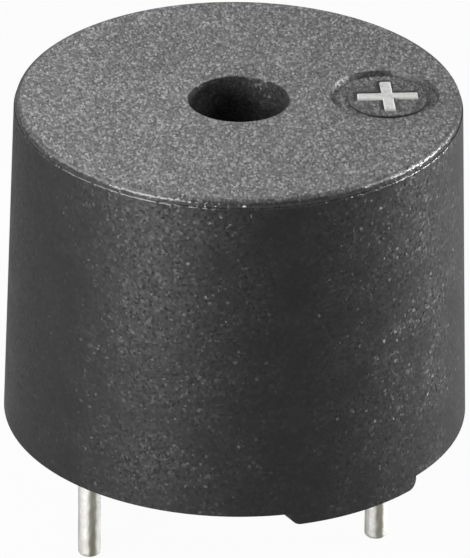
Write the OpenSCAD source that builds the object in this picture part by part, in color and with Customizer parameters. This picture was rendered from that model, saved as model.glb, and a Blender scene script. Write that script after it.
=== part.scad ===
// Round magnetic buzzer with a built-in drive circuit, for mounting through a circuit board.
// Millimetres and degrees. The origin is the middle of the seating plane under the feet,
// +Z is up through the sound hole and +X points to the positive pin.

/* [Case] */
// Outside diameter of the case at its open rim
case_d = 12; // [10.8:0.1:15]
// Height from the seating plane to the top face
case_h = 9.18; // [8.2:0.02:12]
// Thickness of the side wall at the rim
wall_t = 0.7; // [0.6:0.05:1]
// Thickness of the top wall
roof_t = 1; // [0.6:0.05:1.4]
// Draft of the outside of the side wall
draft = 1.77; // [0.5:0.01:2.5]
// Rounding of the top edge
edge_r = 0.14; // [0.05:0.01:0.18]
// Height of the smooth band between the top face and the witness step of the mould
edge_band = 0.2; // [0.19:0.01:0.4]
// How far the side wall stands proud of that band
edge_step = 0.035; // [0.01:0.005:0.08]
// Turn of the case on its base, from the line through the pins
case_turn = -4; // [-10:0.5:10]

/* [Sound hole] */
// Diameter of the sound hole
hole_d = 2.6; // [1.6:0.1:3.2]
// Chamfer round the outer end of the sound hole
hole_chamfer = 0.05; // [0.02:0.01:0.2]
// Wall of the neck round the sound hole, inside the case
neck_wall = 0.6; // [0.4:0.05:1]
// How far the neck reaches below the top wall
neck_drop = 0.5; // [0.2:0.05:0.7]

/* [Polarity mark] */
// Diameter of the round recess in the top face
recess_d = 2.8; // [2.4:0.05:3]
// Depth of the recess
recess_depth = 0.16; // [0.12:0.01:0.3]
// How far the wall of the recess leans in between top and floor
recess_lean = 0.05; // [0.01:0.01:0.08]
// Flat land between the recess and the rounded top edge
recess_margin = 0.42; // [0.2:0.02:0.6]
// Diameter of the raised disc in the recess
disc_d = 2.05; // [1.8:0.05:2.2]
// Height of the disc above the floor of the recess
disc_h = 0.08; // [0.04:0.01:0.11]
// Chamfer round the top of the disc
disc_chamfer = 0.03; // [0.01:0.005:0.035]
// How far the disc and its plus stand further out than the middle of the recess
disc_shift = 0.08; // [0:0.01:0.12]
// Length of each bar of the plus
plus_l = 1.55; // [1:0.05:1.7]
// Width of each bar of the plus
plus_w = 0.28; // [0.15:0.01:0.4]
// Thickness of the plus
plus_t = 0.075; // [0.03:0.005:0.12]

/* [Feet] */
// Height of the stand-off feet below the rim
foot_h = 0.325; // [0.2:0.005:0.6]
// Width of a foot along its chord
foot_w = 3.8; // [2:0.1:6]
// Rounding of the lower corners of a foot
foot_r = 0.25; // [0.05:0.01:0.3]
// Number of feet, evenly spaced round the rim
foot_count = 2; // [2:1:4]
// Angle of the first foot from the polarity mark
foot_at = -62; // [-90:1:90]

/* [Pins] */
// Diameter of a pin
pin_d = 0.6; // [0.4:0.05:0.8]
// Distance between the two pins
pin_pitch = 7.6; // [6.4:0.1:8]
// Length of a pin below the seating plane
pin_l = 3.92; // [2:0.02:8]
// Rounding of the tip of a pin
pin_tip_r = 0.1; // [0.05:0.01:0.15]
// How much wider the root of a pin is, on each side
pin_shoulder = 0.2; // [0.16:0.01:0.25]
// Resin between its surface and the root of a pin
root_cover = 0.05; // [0.02:0.01:0.15]

/* [Resin and board] */
// Depth of the resin's surface above the rim
resin_recess = 0.225; // [0.1:0.005:0.4]
// Thickness of the resin under the board
resin_t = 1.35; // [1.25:0.05:1.8]
// Thickness of the driver board
board_t = 0.6; // [0.4:0.05:0.8]
// Thickness of the copper on the board
copper_t = 0.035; // [0.02:0.005:0.07]
// Width of a copper track
track_w = 0.35; // [0.2:0.05:0.5]
// Copper round a hole in the board, on each side
land_w = 0.25; // [0.2:0.05:0.3]
// Height of the solder at a pin
pin_solder_h = 0.6; // [0.3:0.05:0.9]
// Height of the solder at the end of a winding
lead_solder_h = 0.35; // [0.3:0.05:0.5]

/* [Transistor and resistor] */
// Length of the transistor's body
transistor_l = 2.9; // [2.6:0.1:3]
// Width of the transistor's body
transistor_w = 1.3; // [1.2:0.05:1.4]
// Height of the transistor's body
transistor_h = 0.95; // [0.8:0.05:1.1]
// Gap between the transistor's body and the copper
transistor_lift = 0.05; // [0.02:0.01:0.1]
// Distance of the transistor from the middle of the board
transistor_y = 3; // [2.8:0.05:3.1]
// Spacing of the pair of legs on one side of the transistor
leg_pitch = 1.9; // [1.7:0.05:2]
// Width of a leg
leg_w = 0.42; // [0.35:0.01:0.5]
// Thickness of a leg
leg_t = 0.12; // [0.08:0.01:0.15]
// Reach of a leg from the side of the body
leg_reach = 0.55; // [0.5:0.05:0.6]
// Length of a leg's flat foot
leg_foot = 0.28; // [0.2:0.02:0.3]
// Length of the resistor over its caps
resistor_l = 1.6; // [1.4:0.05:1.7]
// Width of the resistor
resistor_w = 0.8; // [0.6:0.05:0.85]
// Height of the resistor
resistor_h = 0.45; // [0.3:0.05:0.6]
// Length of a cap of the resistor
cap_l = 0.3; // [0.2:0.05:0.4]
// Distance of the resistor from the middle of the board
resistor_at = 3.75; // [3.6:0.05:3.9]
// Angle of the resistor round the board, from the positive pin
resistor_angle = 43; // [41:1:46]

/* [Magnet and windings] */
// Thickness of the yoke plate
yoke_t = 0.6; // [0.4:0.05:0.8]
// Wall of the support ring round the magnet
ring_wall = 0.8; // [0.7:0.05:1]
// Thickness of the ring magnet, from inside to outside
magnet_t = 0.9; // [0.7:0.05:1]
// How far the top of the magnet lies below the top of the core
magnet_drop = 0.75; // [0.4:0.05:1]
// How far the top of the windings lies below the top of the core
coil_drop = 0.25; // [0.1:0.05:0.5]
// Diameter of the core
core_d = 2.6; // [2.2:0.1:2.8]
// Diameter of the core's spigot in the yoke plate
spigot_d = 1.8; // [1.2:0.1:2]
// Chamfer round the top of the core
core_chamfer = 0.12; // [0.05:0.01:0.3]
// Thickness of the drive winding, from inside to outside
drive_t = 0.95; // [0.7:0.05:1]
// Thickness of the feedback winding, from inside to outside
feedback_t = 0.5; // [0.3:0.05:0.55]
// Diameter of the winding wire with its enamel
wire_d = 0.12; // [0.06:0.01:0.2]

/* [Diaphragm] */
// Air gap between the core and the diaphragm
air_gap = 0.15; // [0.1:0.01:0.3]
// Thickness of the diaphragm
diaphragm_t = 0.08; // [0.04:0.01:0.15]
// Width of the seat that carries the edge of the diaphragm
diaphragm_seat = 0.35; // [0.2:0.05:0.4]
// Height of the ring's lip above the diaphragm
lip_h = 0.25; // [0.15:0.05:0.5]
// Diameter of the mass on the diaphragm
mass_d = 4.6; // [3:0.1:6]
// Thickness of the mass
mass_t = 0.5; // [0.3:0.05:0.7]
// Width of the ledge in the case that holds the support ring down
ledge_w = 0.4; // [0.2:0.05:0.6]
// Height of the sound chamber above that ledge
chamber_h = 1.7; // [1.3:0.05:2]

/* [Clearances] */
// Gap between pieces that slip into each other
fit_gap = 0.05; // [0.02:0.01:0.1]
// Gap between a winding and what it is wound on
wind_gap = 0.02; // [0.01:0.005:0.05]
// Gap round a wire or a live pin that passes through metal or board
wire_gap = 0.12; // [0.08:0.01:0.2]

/* [Hidden] */
$fn = 96;

// Length by which a cutting shape passes the surface that it opens
through = 1;

// Levels, from the seating plane up
rim_z = foot_h;
resin_z = rim_z + resin_recess;
root_z = resin_z + root_cover;
board_z = resin_z + resin_t;
copper_z = board_z - copper_t;
yoke_z = board_z + board_t;
deck_z = yoke_z + yoke_t;
roof_z = case_h - roof_t;
neck_z = roof_z - neck_drop;
ledge_z = roof_z - chamber_h;
diaphragm_z = ledge_z - lip_h - diaphragm_t;
core_z = diaphragm_z - air_gap;
recess_z = case_h - recess_depth;
disc_z = recess_z + disc_h;

// Radii, from the outside in
rim_r = case_d / 2;
bore_r = rim_r - wall_t;
chamber_r = bore_r - ledge_w;
ring_r = bore_r - fit_gap;
ring_bore_r = ring_r - ring_wall;
magnet_r = ring_bore_r - fit_gap;
magnet_bore_r = magnet_r - magnet_t;
core_r = core_d / 2;
drive_in_r = core_r + wind_gap;
drive_r = drive_in_r + drive_t;
feedback_in_r = drive_r + wind_gap;
coil_r = feedback_in_r + feedback_t;
pocket_r = ring_bore_r + diaphragm_seat;
diaphragm_r = pocket_r - fit_gap;
hole_r = hole_d / 2;
pin_r = pin_d / 2;
root_r = pin_r + pin_shoulder;

// Outside radius of the drafted wall at a level
function wall_r(z) = rim_r - (z - rim_z) * tan(draft);

// Top edge of the case
band_z = case_h - edge_band;
band_r = wall_r(band_z) - edge_step;
mark_x = band_r - edge_r - recess_margin - recess_d / 2;

// Places in plan, as points on circles round the axis
function polar(r, a) = [r * cos(a), r * sin(a)];
plus_pin = [pin_pitch / 2, 0];
minus_pin = [-pin_pitch / 2, 0];
drive_lead_r = (drive_in_r + drive_r) / 2;
feedback_lead_r = (feedback_in_r + coil_r) / 2;
drive_supply = polar(drive_lead_r, -20);
drive_end = polar(drive_lead_r, 160);
feedback_supply = polar(feedback_lead_r, -50);
feedback_end = polar(feedback_lead_r, 20);
LEADS = [drive_supply, drive_end, feedback_supply, feedback_end];
lead_hole_r = wire_d / 2 + wire_gap;
lead_land_r = lead_hole_r + land_w;
lead_z = copper_z - lead_solder_h + wire_d;
tenon_hole_r = pin_r + fit_gap;
pin_land_r = root_r + 2 * land_w;
live_hole_r = pin_r + 4 * wire_gap;

// Places of the transistor's feet and the resistor's caps
foot_y = transistor_w / 2 + leg_reach - leg_foot / 2;
collector = [0, transistor_y - foot_y];
base = [leg_pitch / 2, transistor_y + foot_y];
emitter = [-leg_pitch / 2, transistor_y + foot_y];
resistor_turn = resistor_angle - 90;
resistor_mid = polar(resistor_at, resistor_angle);
cap_reach = polar((resistor_l - cap_l) / 2, resistor_turn);
base_cap = resistor_mid - cap_reach;
feedback_cap = resistor_mid + cap_reach;

CASE_BLACK = "#2b2b2e";
MARK_WHITE = "#d9d9d6";
TIN = "#b9b7ae";
STEEL = "#a9adb0";
IRON = "#7d8084";
FERRITE = "#3a3836";
COPPER = "#b4643a";
BOARD = "#3f6a48";
RESIN = "#1f1f22";
IVORY = "#cfc8b4";

// Shared shapes

// Half section of a plain ring between two radii
module ring_section(inner_r, outer_r, low_z, high_z) {
    translate([inner_r, low_z])
        square([outer_r - inner_r, high_z - low_z]);
}

// A straight round hole or wire at a place in plan
module upright(at, r, low_z, high_z) {
    translate([at.x, at.y, low_z])
        cylinder(r = r, h = high_z - low_z);
}

// Draws its children hanging below the copper, with their own +Z pointing down
module under_board() {
    translate([0, 0, copper_z])
        mirror([0, 0, 1])
            children();
}

// Case

// Outside of the case as a half section, from the seating plane to the top face
module case_outline() {
    polygon([
        [0, 0],
        [wall_r(0), 0],
        [wall_r(band_z), band_z],
        [0, band_z]
    ]);
    ring_section(0, band_r, band_z, case_h - edge_r);
    ring_section(0, band_r - edge_r, band_z, case_h);
    translate([band_r - edge_r, case_h - edge_r])
        circle(edge_r);
}

// Room inside the case as a half section: bore, ledge, sound chamber, neck and sound hole
module case_room() {
    polygon([
        [0, -through],
        [bore_r, -through],
        [bore_r, ledge_z],
        [chamber_r, ledge_z],
        [chamber_r, roof_z],
        [hole_r + neck_wall, roof_z],
        [hole_r + neck_wall, neck_z],
        [hole_r, neck_z],
        [hole_r, case_h - hole_chamfer],
        [hole_r + hole_chamfer + through, case_h + through],
        [0, case_h + through]
    ]);
}

// Outline of a foot as seen from outside, standing on the seating plane
module foot_outline() {
    corner_r = min(foot_r, foot_h);
    translate([-foot_w / 2, corner_r])
        square([foot_w, foot_h]);
    translate([-foot_w / 2 + corner_r, 0])
        square([foot_w - 2 * corner_r, foot_h]);
    for (side = [-1, 1])
        translate([side * (foot_w / 2 - corner_r), corner_r])
            circle(corner_r);
}

// Everything below the rim that is not a foot
module rim_trim() {
    difference() {
        translate([0, 0, -through])
            cylinder(r = rim_r + through, h = rim_z + through);
        for (i = [0:foot_count - 1])
            rotate(foot_at + i * 360 / foot_count)
                rotate([90, 0, 90])
                    linear_extrude(height = rim_r + 2 * through)
                        foot_outline();
    }
}

// Annular recess for the polarity mark, with the raised disc left standing in it
module mark_recess() {
    translate([mark_x, 0, recess_z]) {
        difference() {
            union() {
                cylinder(r1 = recess_d / 2 - recess_lean, r2 = recess_d / 2, h = recess_depth);
                translate([0, 0, recess_depth])
                    cylinder(d = recess_d, h = through);
            }
            translate([disc_shift, 0, 0]) {
                cylinder(d = disc_d, h = disc_h - disc_chamfer);
                translate([0, 0, disc_h - disc_chamfer])
                    cylinder(r1 = disc_d / 2, r2 = disc_d / 2 - disc_chamfer, h = disc_chamfer);
            }
        }
    }
}

module case() {
    color(CASE_BLACK)
        rotate(case_turn)
            difference() {
                rotate_extrude()
                    difference() {
                        case_outline();
                        case_room();
                    }
                rim_trim();
                mark_recess();
            }
}

module polarity_mark() {
    color(MARK_WHITE)
        rotate(case_turn)
            translate([mark_x + disc_shift, 0, disc_z])
                linear_extrude(height = plus_t)
                    for (turn = [0, 90])
                        rotate(turn)
                            square([plus_l, plus_w], center = true);
}

// Sounder

module diaphragm() {
    color(STEEL)
        translate([0, 0, diaphragm_z])
            cylinder(r = diaphragm_r, h = diaphragm_t);
}

module vibrating_mass() {
    color(STEEL)
        translate([0, 0, diaphragm_z + diaphragm_t])
            cylinder(d = mass_d, h = mass_t);
}

// The ring stands on the yoke plate, centres the magnet and seats the diaphragm below its lip
module support_ring() {
    color(CASE_BLACK)
        rotate_extrude()
            difference() {
                ring_section(ring_bore_r, ring_r, deck_z, ledge_z);
                ring_section(0, pocket_r, diaphragm_z, ledge_z + through);
            }
}

module ring_magnet() {
    color(FERRITE)
        rotate_extrude()
            ring_section(magnet_bore_r, magnet_r, deck_z, core_z - magnet_drop);
}

// A winding with the two ends of its wire, which pass down through yoke plate and board
module winding(inner_r, outer_r, ends) {
    color(COPPER) {
        rotate_extrude()
            ring_section(inner_r, outer_r, deck_z, core_z - coil_drop);
        for (at = ends)
            upright(at, wire_d / 2, lead_z, deck_z + wire_d);
    }
}

module drive_winding() {
    winding(drive_in_r, drive_r, [drive_supply, drive_end]);
}

module feedback_winding() {
    winding(feedback_in_r, coil_r, [feedback_supply, feedback_end]);
}

// The core stands on the yoke plate, with a spigot staked through it
module pole_core() {
    color(IRON)
        rotate_extrude()
            polygon([
                [0, yoke_z],
                [spigot_d / 2, yoke_z],
                [spigot_d / 2, deck_z],
                [core_r, deck_z],
                [core_r, core_z - core_chamfer],
                [core_r - core_chamfer, core_z],
                [0, core_z]
            ]);
}

module yoke_plate() {
    color(IRON)
        difference() {
            translate([0, 0, yoke_z])
                cylinder(r = ring_r, h = yoke_t);
            upright([0, 0], spigot_d / 2 + wind_gap, yoke_z - through, deck_z + through);
            for (at = [plus_pin, minus_pin])
                upright(at, live_hole_r, yoke_z - through, deck_z + through);
            for (at = LEADS)
                upright(at, lead_hole_r, yoke_z - through, deck_z + through);
        }
}

// Drive circuit

module driver_board() {
    color(BOARD)
        difference() {
            translate([0, 0, board_z])
                cylinder(r = ring_r, h = board_t);
            board_holes();
        }
}

// Holes for the pins' tenons and the ends of the windings, through board and copper
module board_holes() {
    for (at = [plus_pin, minus_pin])
        upright(at, tenon_hole_r, copper_z - through, yoke_z + through);
    for (at = LEADS)
        upright(at, lead_hole_r, copper_z - through, yoke_z + through);
}

// Round copper land, and a straight track between two places
module land(at, r) {
    translate(at)
        circle(r);
}

module track(from, to) {
    way = to - from;
    translate(from)
        rotate(atan2(way.y, way.x))
            translate([0, -track_w / 2])
                square([norm(way), track_w]);
}

// Land for a leg of the transistor, and for a cap of the resistor
module leg_land(at) {
    translate(at)
        square([leg_w + land_w, leg_foot + land_w], center = true);
}

module cap_land(at) {
    translate(at)
        rotate(resistor_turn)
            square([cap_l + land_w, resistor_w + land_w], center = true);
}

// The five nets of the circuit in plan: supply, ground, collector, feedback and base
module supply_net() {
    land(plus_pin, pin_land_r);
    track(plus_pin, drive_supply);
    land(drive_supply, lead_land_r);
    track(drive_supply, feedback_supply);
    land(feedback_supply, lead_land_r);
}

module ground_net() {
    land(minus_pin, pin_land_r);
    track(minus_pin, emitter);
    leg_land(emitter);
}

module collector_net() {
    land(drive_end, lead_land_r);
    track(drive_end, collector);
    leg_land(collector);
}

module feedback_net() {
    land(feedback_end, lead_land_r);
    track(feedback_end, feedback_cap);
    cap_land(feedback_cap);
}

module base_net() {
    leg_land(base);
    track(base, base_cap);
    cap_land(base_cap);
}

module board_copper() {
    color(COPPER)
        difference() {
            translate([0, 0, copper_z])
                linear_extrude(height = copper_t) {
                    supply_net();
                    ground_net();
                    collector_net();
                    feedback_net();
                    base_net();
                }
            board_holes();
        }
}

// Body with drafted ends above and below the band where the legs come out
module transistor_body() {
    side = transistor_w / 2;
    slope = leg_t / 2;
    low = transistor_lift;
    high = transistor_lift + transistor_h;
    band_low = (low + high) / 2 - leg_t;
    band_high = (low + high) / 2 + leg_t;
    color(RESIN)
        under_board()
            translate([-transistor_l / 2, transistor_y, 0])
                rotate([90, 0, 90])
                    linear_extrude(height = transistor_l)
                        polygon([
                            [-side + slope, low],
                            [side - slope, low],
                            [side, band_low],
                            [side, band_high],
                            [side - slope, high],
                            [-side + slope, high],
                            [-side, band_high],
                            [-side, band_low]
                        ]);
}

// Side view of one leg: out of the body, down and along the copper
module leg_outline() {
    start = transistor_w / 2;
    tip = start + leg_reach;
    heel = tip - leg_foot;
    bend = (start + heel) / 2;
    high = transistor_lift + transistor_h / 2 + leg_t / 2;
    polygon([
        [start, high - leg_t],
        [bend - leg_t, high - leg_t],
        [heel - leg_t, 0],
        [tip, 0],
        [tip, leg_t],
        [heel, leg_t],
        [bend, high],
        [start, high]
    ]);
}

module transistor_leg(along) {
    translate([along - leg_w / 2, 0, 0])
        rotate([90, 0, 90])
            linear_extrude(height = leg_w)
                leg_outline();
}

module transistor_legs() {
    color(TIN)
        under_board()
            translate([0, transistor_y, 0]) {
                for (side = [-1, 1])
                    transistor_leg(side * leg_pitch / 2);
                rotate(180)
                    transistor_leg(0);
            }
}

// A block along the resistor, resting on the copper
module resistor_block(from, length) {
    under_board()
        translate([resistor_mid.x, resistor_mid.y, 0])
            rotate(resistor_turn)
                translate([from, -resistor_w / 2, 0])
                    cube([length, resistor_w, resistor_h]);
}

module resistor_body() {
    color(IVORY)
        resistor_block(-resistor_l / 2 + cap_l, resistor_l - 2 * cap_l);
}

module resistor_caps() {
    color(TIN) {
        resistor_block(-resistor_l / 2, cap_l);
        resistor_block(resistor_l / 2 - cap_l, cap_l);
    }
}

// Pins

// A pin with a rounded tip, a thicker root in the resin and a tenon through the board
module pin() {
    color(TIN)
        rotate_extrude() {
            ring_section(0, pin_r - pin_tip_r, -pin_l, root_z);
            ring_section(0, pin_r, -pin_l + pin_tip_r, root_z);
            translate([pin_r - pin_tip_r, -pin_l + pin_tip_r])
                intersection() {
                    circle(pin_tip_r);
                    translate([0, -pin_tip_r])
                        square(pin_tip_r);
                }
            ring_section(0, root_r, root_z, copper_z);
            ring_section(0, pin_r, copper_z, yoke_z);
        }
}

module positive_pin() {
    translate(plus_pin)
        pin();
}

module negative_pin() {
    translate(minus_pin)
        pin();
}

// A cone of solder on the copper at a place in plan
module solder_cone(at, wide_r, narrow_r, height) {
    under_board()
        translate([at.x, at.y, 0])
            cylinder(r1 = wide_r, r2 = narrow_r, h = height);
}

module solder_joints() {
    color(TIN) {
        for (at = [plus_pin, minus_pin])
            difference() {
                solder_cone(at, root_r + land_w, root_r + copper_t, pin_solder_h);
                upright(at, root_r, root_z, copper_z + through);
            }
        for (at = LEADS)
            difference() {
                solder_cone(at, lead_hole_r + land_w / 2, wire_d, lead_solder_h);
                upright(at, wire_d / 2, lead_z, copper_z + through);
            }
    }
}

// Resin that fills the bore below the board, round all that hangs there
module sealing_resin() {
    color(RESIN)
        difference() {
            translate([0, 0, resin_z])
                cylinder(r = bore_r, h = resin_t);
            for (at = [plus_pin, minus_pin]) {
                upright(at, pin_r, resin_z - through, root_z + through);
                upright(at, root_r, root_z, board_z + through);
            }
            for (at = LEADS) {
                upright(at, lead_hole_r, copper_z, board_z + through);
                upright(at, wire_d / 2, lead_z, board_z);
            }
            board_copper();
            solder_joints();
            transistor_body();
            transistor_legs();
            resistor_body();
            resistor_caps();
        }
}

case();
polarity_mark();
diaphragm();
vibrating_mass();
support_ring();
ring_magnet();
drive_winding();
feedback_winding();
pole_core();
yoke_plate();
driver_board();
board_copper();
transistor_body();
transistor_legs();
resistor_body();
resistor_caps();
positive_pin();
negative_pin();
solder_joints();
sealing_resin();
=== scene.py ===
"""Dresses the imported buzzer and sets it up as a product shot.

The case, the plus, the pins and the resin's meniscus are built here as fine surfaces in the place and
form of their solids. The pieces inside keep their solids and get a finish. Sizes are in millimetres
until a mesh is sewn, and angles are in degrees unless a name says otherwise.
"""

from __future__ import annotations

import logging
import math
from dataclasses import dataclass
from enum import Enum
from typing import Union

import bmesh
import bpy
import numpy as np
from mathutils import Matrix, Vector

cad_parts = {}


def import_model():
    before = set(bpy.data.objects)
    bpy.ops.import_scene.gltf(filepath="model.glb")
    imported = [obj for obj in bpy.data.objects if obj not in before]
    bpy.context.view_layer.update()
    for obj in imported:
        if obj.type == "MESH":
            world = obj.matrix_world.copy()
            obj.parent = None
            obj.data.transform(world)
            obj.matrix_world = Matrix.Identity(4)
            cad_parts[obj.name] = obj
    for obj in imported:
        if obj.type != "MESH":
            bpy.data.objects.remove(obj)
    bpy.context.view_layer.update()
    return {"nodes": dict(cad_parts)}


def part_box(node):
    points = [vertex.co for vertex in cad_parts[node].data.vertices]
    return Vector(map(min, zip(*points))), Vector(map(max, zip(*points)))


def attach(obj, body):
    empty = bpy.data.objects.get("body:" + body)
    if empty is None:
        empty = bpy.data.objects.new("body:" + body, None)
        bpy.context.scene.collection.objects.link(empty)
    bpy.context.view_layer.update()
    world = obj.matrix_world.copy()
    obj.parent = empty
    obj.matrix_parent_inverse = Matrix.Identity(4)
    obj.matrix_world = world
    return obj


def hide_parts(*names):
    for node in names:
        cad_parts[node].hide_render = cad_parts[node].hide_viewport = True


LOG = logging.getLogger("buzzer")
MM = 0.001
BODY = "root"
PHOTO_WIDTH, PHOTO_HEIGHT = 470, 558
MERGE_GAP = 0.0002
SHARP_ANGLE = 38.0
SATIN, RUBBED, GRAINED = 0.0, 1.0, 2.0
WHITE = (1.0, 1.0, 1.0)

Array = np.ndarray
Node, Socket, Tree = bpy.types.Node, bpy.types.NodeSocket, bpy.types.NodeTree
Material, Piece = bpy.types.Material, bpy.types.Object
Colour = tuple[float, float, float]
Pair = tuple[float, float]
Number = Union[float, Array]
Value = Union[float, int, tuple, Socket]


def arc(centre: Pair, radius: float, start: float, end: float, steps: int) -> Array:
    """Points on a round stretch of a profile.

    Each point is the centre plus the radius times the cosine and sine of its angle.

    Args:
        centre: Radius and level of the arc's centre.
        radius: Radius of the arc.
        start: Angle of the first point.
        end: Angle of the last point.
        steps: Number of chords between the two.

    Returns:
        Array of points, each a radius and a level.
    """
    turn = np.radians(np.linspace(start, end, steps + 1))
    return np.column_stack([centre[0] + radius * np.cos(turn), centre[1] + radius * np.sin(turn)])


def around(radius: Number, level: Number, angles: Array, centre: Pair = (0.0, 0.0)) -> Array:
    """Points round an upright axis: the centre plus the radius times the cosine and sine of the angle.

    Args:
        radius: Distances from the axis.
        level: Levels of the points.
        angles: Angles in radians. The three are spread over each other's rows and columns.
        centre: Place of the axis in plan.

    Returns:
        Array of points.
    """
    x = centre[0] + radius * np.cos(angles)
    y = centre[1] + radius * np.sin(angles)
    return np.stack(np.broadcast_arrays(x, y, level), axis=-1)


def revolve(profile: Array, angles: Array, centre: Pair = (0.0, 0.0)) -> Array:
    """Carries a profile of radii and levels round an upright axis, with a row for each of its points."""
    return around(profile[:, 0, None], profile[:, 1, None], angles, centre)


def ruled(first: Array, last: Array, steps: int) -> Array:
    """Straight strips between two rows of points: the first plus a share of the way to the last."""
    share = np.linspace(0.0, 1.0, steps + 1)[:, None, None]
    return first + share * (last - first)


def cross(first: Array, second: Array) -> Array:
    """Cross product in plan: x of the first times y of the second, less y times x."""
    return first[..., 0] * second[..., 1] - first[..., 1] * second[..., 0]


def full_turn(columns: int) -> Array:
    """Evenly spaced angles once round, in radians."""
    return np.linspace(0.0, 2.0 * math.pi, columns, endpoint=False)


def towards(azimuth: float, elevation: float) -> Vector:
    """Direction from the part at an elevation and an azimuth, which counts from the front to the right."""
    turn, rise = math.radians(azimuth), math.radians(elevation)
    return Vector((math.sin(turn) * math.cos(rise), -math.cos(turn) * math.cos(rise), math.sin(rise)))


class Patchwork:
    """Grids of points in millimetres that are sewn into one mesh."""

    def __init__(self) -> None:
        """Starts with no grid."""
        self._points: list[Array] = []
        self._quads: list[Array] = []
        self._marks: list[Array] = []
        self._count = 0

    def add(self, grid: Array, closed: bool = False, mark: Number = 0.0) -> None:
        """Adds the quads between neighbouring points of a grid.

        Args:
            grid: Points in rows and columns.
            closed: Whether the last column joins the first.
            mark: Value of the mark attribute: one for all points, one for each row or for each point.
        """
        rows, columns = grid.shape[:2]
        index = np.arange(rows * columns).reshape(rows, columns) + self._count
        here = index if closed else index[:, :-1]
        there = np.roll(index, -1, axis=1) if closed else index[:, 1:]
        quads = np.stack([here[:-1], there[:-1], there[1:], here[1:]], axis=-1)
        marks = np.asarray(mark, dtype=float)
        marks = np.broadcast_to(marks[:, None] if marks.ndim == 1 else marks, (rows, columns))
        self._points.append(grid.reshape(-1, 3))
        self._quads.append(quads.reshape(-1, 4))
        self._marks.append(marks.reshape(-1))
        self._count += rows * columns

    def sew(self, name: str, turn: float = 0.0, mark: str = "") -> Piece:
        """Merges the seams and poles, turns the faces outwards and links the piece.

        Args:
            name: Name of the piece.
            turn: Turn of the whole piece about the upright axis.
            mark: Name of the attribute that carries the marks, or nothing for none.

        Returns:
            The finished object, at the origin and with its place in its mesh.
        """
        mesh = bpy.data.meshes.new(name)
        mesh.from_pydata(np.concatenate(self._points), [], np.concatenate(self._quads))
        if mark:
            layer = mesh.attributes.new(mark, "FLOAT", "POINT")
            layer.data.foreach_set("value", np.concatenate(self._marks).astype(np.float32))
        shape = bmesh.new()
        shape.from_mesh(mesh)
        bmesh.ops.remove_doubles(shape, verts=shape.verts, dist=MERGE_GAP)
        bmesh.ops.recalc_face_normals(shape, faces=shape.faces)
        shape.to_mesh(mesh)
        shape.free()
        mesh.transform(Matrix.Scale(MM, 4) @ Matrix.Rotation(math.radians(turn), 4, "Z"))
        mesh.shade_smooth()
        mesh.set_sharp_from_angle(angle=math.radians(SHARP_ANGLE))
        piece = bpy.data.objects.new(name, mesh)
        bpy.context.scene.collection.objects.link(piece)
        return piece


class Mix(Enum):
    """What a Mix node mixes: its data type, the first of its two inputs and its output."""

    NUMBERS = ("FLOAT", 2, 0)
    VECTORS = ("VECTOR", 4, 1)
    COLOURS = ("RGBA", 6, 2)


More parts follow.
